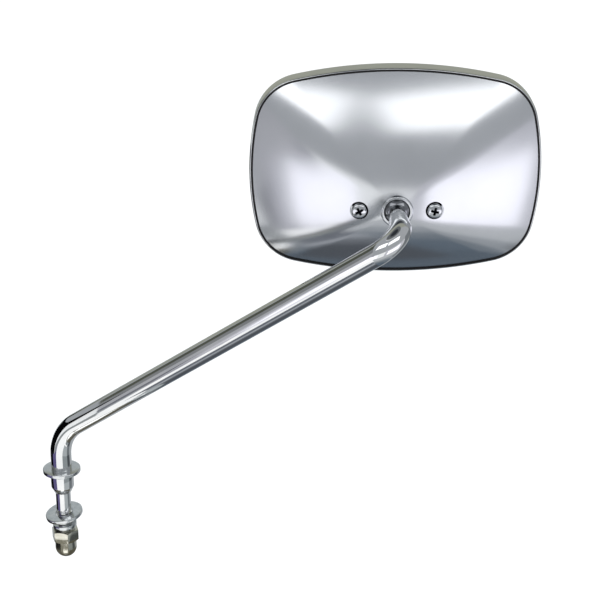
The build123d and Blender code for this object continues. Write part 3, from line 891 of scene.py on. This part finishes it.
# Each piece: the body that carries it, the record's slot, the nodes that it stands for, its finish
DRESSED = (
    (make_stem(), "stem", "chrome", ["stem_rod"], bright_chrome),
    (make_foot_washer(), "stem", "zinc", ["flange_washer"], zinc_plate),
    (make_bush(), "stem", "chrome", ["spacer_bush"], bright_chrome),
    (make_loose_washer(), "washers", "zinc", ["flat_washer"], zinc_plate),
    (make_spring_ring(), "washers", "zinc", ["lock_washer"], zinc_plate),
    (make_dome_nut(), "nut", "nickel", ["cap_nut"], bright_nickel),
    # The ball's finish is painted shade: far darker than its steel, for the dark gap in the collar
    (make_sphere(), "ball", "chrome", ["pivot_ball"], shaded_ball_steel),
    (shell, "head", "satin_chrome", ["back_shell"], buffed_chrome),
    # The seat cups' near-black finish is painted shade round the screw heads
    (seat_left, "head", "inner_steel", [], seat_painted_shade),
    (seat_right, "head", "inner_steel", [], seat_painted_shade),
    (make_rim(), "head", "chrome", ["rim"], bright_chrome),
    # A black bead of painted shade, where the rim closes on the back
    (make_crease_shade_bead(), "head", "rubber", [], black_rubber),
    (make_mirror(), "head", "mirror_glass", ["mirror_glass"], silvered_glass),
    (screw_left, "head", "screw_steel", ["clamp_screw_left"], screw_plate),
    (copy_screw(screw_left), "head", "screw_steel", ["clamp_screw_right"], screw_plate),
)
for piece, body, slot, nodes, finish in DRESSED:
    shade(piece)
    piece.data.materials.clear()
    piece.data.materials.append(finish)
    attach(piece, body)
    if nodes:
        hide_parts(*nodes)

# The pieces inside the head keep their own solids
INSIDE = {
    "friction_cup": natural_nylon,
    "glass_gasket": black_rubber,
    "backing_pad": black_rubber,
    "clamp_plate": mill_steel,
    "spring_washer_left": mill_steel,
    "spring_washer_right": mill_steel,
    "clamp_nut_left": mill_steel,
    "clamp_nut_right": mill_steel,
}
for node_name, finish in INSIDE.items():
    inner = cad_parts[node_name].data
    inner.materials.clear()
    inner.materials.append(finish)

# The studio: a pale floor well below, soft light, and plain cards that only polished metal sees
FLOOR_Z = -0.6
FLOOR_SIZE = 20
PAINT_ROUGHNESS = 0.9


def stage_paint(name, colour, glow):
    """A plain matt paint for the floor, or for a card a plain glow of that colour."""
    material = bpy.data.materials.new(name)
    material.use_nodes = True
    shader = material.node_tree.nodes["Principled BSDF"]
    shader.inputs["Base Color"].default_value = linear("#000000") if glow else linear(colour)
    shader.inputs["Roughness"].default_value = PAINT_ROUGHNESS
    shader.inputs["Specular IOR Level"].default_value = 0.0
    shader.inputs["Emission Color"].default_value = linear(colour)
    shader.inputs["Emission Strength"].default_value = glow
    return material


clear_bench()
bpy.ops.mesh.primitive_plane_add(size=FLOOR_SIZE, location=(0, 0, FLOOR_Z))
floor = bpy.context.object
floor.name = "floor"
floor.data.materials.append(stage_paint("pale_paper", "#F4F4F3", 0.0))

# The backdrop is white where it is seen, straight or in metal and glass, and grey as a light
world = bpy.data.worlds.new("studio")
world.use_nodes = True
sky = world.node_tree
rays = add_node(sky, "ShaderNodeLightPath").outputs
seen = rays["Is Camera Ray"]
for ray in ("Is Glossy Ray", "Is Transmission Ray"):
    either = {0: seen, 1: rays[ray]}
    seen = add_node(sky, "ShaderNodeMath", either, operation="MAXIMUM").outputs[0]
greys = {"Factor": seen, COLOUR_A: linear("#B0B3B7"), COLOUR_B: linear("#FFFFFF")}
backdrop = add_node(sky, "ShaderNodeMix", greys, data_type="RGBA").outputs[COLOUR_MIXED]
sky.links.new(backdrop, sky.nodes["Background"].inputs["Color"])
bpy.context.scene.world = world


def bearing(azimuth, elevation):
    """The direction at an azimuth, 0 towards the camera and 90 towards +X, and an elevation."""
    a, e = radians(azimuth), radians(elevation)
    return Vector((sin(a) * cos(e), -cos(a) * cos(e), sin(e)))


# The lamps: where the soft boxes point, how far off they stand, how tall they are, all in metres.
# Each has its azimuth, elevation and lean in degrees, its width in metres and its watts
LAMP_AIM = Vector((0.174, -0.03, 0.18))
LAMP_DISTANCE = 1.2
LAMP_HEIGHT = 0.40
SOFT_BOXES = (
    ("key_left", -36, 39.4, 7, 0.91, 1.6),
    ("key_right", 32, 39, -7, 1.12, 1.95),
)
OVERHEAD_SPREAD = radians(80)
OVERHEAD_STRENGTH = 2.4


def soft_box(name, azimuth, elevation, lean, width, watts):
    """A rectangular lamp at a bearing from the head, facing it and leant about that bearing."""
    lamp = bpy.data.lights.new(name, "AREA")
    lamp.shape = "RECTANGLE"
    lamp.size = width
    lamp.size_y = LAMP_HEIGHT
    lamp.energy = watts
    box = bpy.data.objects.new(name, lamp)
    way = bearing(azimuth, elevation)
    box.location = LAMP_AIM + way * LAMP_DISTANCE
    box.rotation_mode = "QUATERNION"
    box.rotation_quaternion = Quaternion(way, radians(lean)) @ way.to_track_quat("Z", "Y")
    box.visible_camera = False
    bpy.context.scene.collection.objects.link(box)


# Where cards stand: round the head, round the rod's run and round the foot. Each place has a centre
# and three axes: towards the camera, to the side, and the pole that a card is swung about
HEAD_MIDDLE = Vector((174, -35, 185))
FOOT_MIDDLE = Vector((0, 0, -10))
ROD_MIDDLE = (LOWER_CORNER + UPPER_CORNER) / 2
ROD_FRONT = CAMERA_PLACE / MM - ROD_MIDDLE
ROD_FRONT = (ROD_FRONT - RUN * ROD_FRONT.dot(RUN)).normalized()
HEAD_SET = (HEAD_MIDDLE, -Y_AXIS, X_AXIS, Z_AXIS)
ROD_SET = (ROD_MIDDLE, ROD_FRONT, ROD_FRONT.cross(RUN), -RUN)
FOOT_SET = (FOOT_MIDDLE, -Y_AXIS, X_AXIS, Z_AXIS)


def card(name, place, distance, turns, rises, colour, glow=1.0):
    """A curved card between two turns and two rises about a place, seen only in polished metal."""
    centre, front, side, pole = place
    start = radians(turns[0])
    level = front * cos(start) + side * sin(start)
    low, high = radians(rises[0]), radians(rises[1])
    heights = [low + (high - low) * k / CARD_RISE_STEPS for k in range(CARD_RISE_STEPS + 1)]
    edge = [centre + (level * cos(e) + pole * sin(e)) * distance for e in heights]
    sheet = draw_section(name, edge)
    swing(CARD_TURN_STEPS, radians(turns[1] - turns[0]), centre, pole)
    bpy.ops.object.mode_set(mode="OBJECT")
    sheet.data.materials.append(stage_paint(name, colour, glow))
    sheet.visible_camera = False
    sheet.visible_diffuse = False
    sheet.visible_shadow = False


for lamp_settings in SOFT_BOXES:
    soft_box(*lamp_settings)
overhead = bpy.data.lights.new("overhead", "SUN")
overhead.angle = OVERHEAD_SPREAD
overhead.energy = OVERHEAD_STRENGTH
overhead_place = bpy.data.objects.new("overhead", overhead)
overhead_place.visible_glossy = False
bpy.context.scene.collection.objects.link(overhead_place)

# Each card: its distance in millimetres, its turns and rises in degrees, its colour, and its glow
# where that isn't 1. Cards that overlap stand at distances of their own

# Round the head: a dark ceiling, a mat that darkens towards its middle, white cards at the sides
HEAD_CARDS = (
    ("ceiling", 700, (0, 360), (75, 90), "#34383D"),
    ("ceiling_edge", 703, (0, 360), (63, 75), "#6C6F72"),
    ("room", 1500, (0, 360), (-4, 63), "#B0B3B7"),
    ("back_wall", 690, (125, 235), (-4, 63), "#A4A69B"),
    ("back_low", 690, (125, 235), (-16, -4), "#A6AAA8"),
    ("back_foot", 690, (125, 235), (-30, -16), "#BCC0C0"),
    ("mat_middle", 600, (0, 360), (-90, -70), "#66727E"),
    ("mat_ring", 603, (0, 360), (-70, -59), "#7E868E"),
    ("mat_edge", 606, (0, 360), (-59, -48), "#A4A9AE"),
    ("mat_hem", 609, (0, 360), (-48, -30), "#C8CBCE"),
    ("mat_back", 597, (110, 250), (-75, -56), "#606B76"),
    ("mat_left", 600, (-80, -44), (-52, -30), "#9CA0A2"),
    ("back_hem", 603, (125, 235), (-48, -30), "#AAAEB2"),
    ("white_left", 420, (-55, -20), (-28, -9), "#F8F7FF", 1.55),
    ("white_left_low", 425, (-54, -40), (-36, -27), "#F8F7FF", 1.1),
    ("shade_left", 420, (-66, -62), (-28, -9), "#BEBEC6"),
    ("half_left", 420, (-62, -58.5), (-28, -9), "#D8D8E0"),
    ("pale_left", 420, (-58.5, -55), (-28, -9), "#F7F7FF"),
    ("shade_left_low", 425, (-66, -60), (-36, -27), "#B2B2BA"),
    ("half_left_low", 425, (-60, -54), (-36, -27), "#D0D0D8"),
    ("white_right", 540, (19, 74), (-29.5, -9), "#F8F7FF", 1.6),
    ("pale_right", 550, (8, 88), (-32, -2), "#D2D2DA"),
    ("black_left", 550, (-136, -84), (-60, -8), "#08080A"),
    ("dark_right", 530, (90, 128), (-55, 8), "#7E8286"),
)

# Along the rod, strips that draw its streaks
ROD_CARDS = (
    ("rod_dusk", 470, (64, 94), (4, 47), "#585B52"),
    ("rod_grey", 470, (34, 64), (4, 47), "#8A8C8E"),
    ("rod_light", 470, (8, 34), (4, 47), "#B8B9BE"),
    ("rod_shade", 470, (-9, 8), (4, 47), "#7C7E86"),
    ("rod_half", 470, (-20, -9), (16, 47), "#B0B3B8"),
    ("rod_white", 470, (-42, -20), (14, 47), "#FFFFFF", 1.25),
    ("rod_low_grey", 470, (-62, -42), (16, 47), "#757981"),
    ("rod_low_light", 470, (-76, -62), (16, 47), "#ABAFB5"),
    ("rod_low_dusk", 470, (-88, -76), (16, 47), "#70747A"),
    ("rod_black", 470, (-122, -88), (16, 47), "#565A60"),
)

# Close round the foot, strips and patches that draw the bush, the washers and the nut
FOOT_CARDS = (
    ("foot_white", 65, (-46, 22), (-47, 6), "#FFFFFF", 1.25),
    ("foot_violet", 65, (-86, -46), (-33, 6), "#6A6390"),
    ("nut_black", 65, (-86, -46), (-47, -33), "#1E1D1B"),
    ("foot_black", 65, (-130, -86), (-47, 6), "#060607"),
    ("foot_grey", 65, (22, 76), (-47, 6), "#9AA1A4"),
    ("foot_dark", 65, (76, 112), (-47, 6), "#53585C"),
    ("bush_grey", 64, (22, 76), (-31, -3.5), "#B8BEC1"),
    ("bush_dark", 64, (76, 112), (-31, -3.5), "#7A8084"),
    ("foot_back", 65, (112, 230), (-47, 6), "#B2B6BA"),
    ("foot_under", 65, (0, 360), (-85, -47), "#66645A"),
    ("ring_white", 63, (-78, 62), (-36, -32), "#FFFFFF", 1.4),
    ("nut_grey", 64, (-50, 30), (-47, -41.5), "#8F8E84"),
    ("nut_under", 64, (-50, 40), (-84, -47), "#96948A"),
    ("nut_spot", 63, (-24, 22), (-67, -46.5), "#FFFFFF", 1.7),
    ("foot_sky", 65, (140, 220), (12, 50), "#C2C8CA"),
)

for place, cards in ((HEAD_SET, HEAD_CARDS), (ROD_SET, ROD_CARDS), (FOOT_SET, FOOT_CARDS)):
    for name, *settings in cards:
        card(name, place, *settings)
